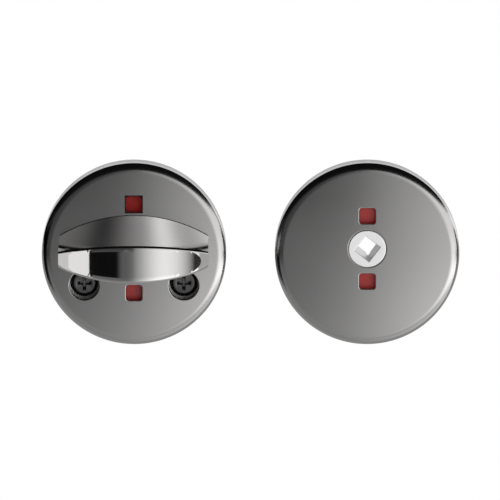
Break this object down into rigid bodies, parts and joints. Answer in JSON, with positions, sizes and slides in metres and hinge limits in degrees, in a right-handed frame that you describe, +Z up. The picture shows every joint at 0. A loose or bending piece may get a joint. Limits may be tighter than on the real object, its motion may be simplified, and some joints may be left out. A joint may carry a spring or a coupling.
{
  "type": "bathroom thumb turn lock set",
  "caption": "Inside thumb turn and outside emergency release of a bathroom door lock, on round black nickel roses with indicator windows.",
  "frame": {"origin": "on the thumb turn's axis, in the plane of the door's face that the roses lie against", "axes": "+Y into the door, -Y out of the fronts, +X from the inside half to the outside half, +Z up"},
  "size_m": [0.1132, 0.0768, 0.05],
  "materials": {
    "black_nickel": "black nickel plate on cast zinc, satin polished",
    "black_nickel_polished": "black nickel plate on cast zinc, polished",
    "satin_nickel": "bead blasted nickel",
    "indicator_red": "moulded plastic, red and white fields",
    "nylon": "black nylon",
    "cast_zinc": "bare cast zinc",
    "zinc_plated_steel": "bright zinc plated",
    "spring_steel": "blackened spring steel",
    "black_zinc_steel": "black zinc plated steel"
  },
  "bodies": {
    "roses": {"turn_rose": "black_nickel", "turn_bush": "nylon", "turn_base_plate": "cast_zinc", "turn_plate_screws": "zinc_plated_steel", "turn_wave_washer": "spring_steel", "fixing_screws": "black_zinc_steel", "release_rose": "black_nickel", "release_base_plate": "cast_zinc", "release_plate_screws": "zinc_plated_steel", "release_wave_washer": "spring_steel", "threaded_sleeves": "zinc_plated_steel"},
    "turn": {"thumb_turn": "black_nickel_polished", "turn_indicator": "indicator_red", "turn_circlip": "spring_steel", "spindle": "zinc_plated_steel", "spindle_pin": "spring_steel"},
    "release": {"release_hub": "satin_nickel", "release_indicator": "indicator_red"}
  },
  "joints": [
    {"name": "turn_pivot", "type": "hinge", "parent": "roses", "child": "turn", "pos_m": [0, 0, 0], "axis": [0, -1, 0], "range_deg": [0, 90]},
    {"name": "release_pivot", "type": "hinge", "parent": "roses", "child": "release", "pos_m": [0.0632, 0, 0], "axis": [0, -1, 0], "range_deg": [0, 90]}
  ]
}
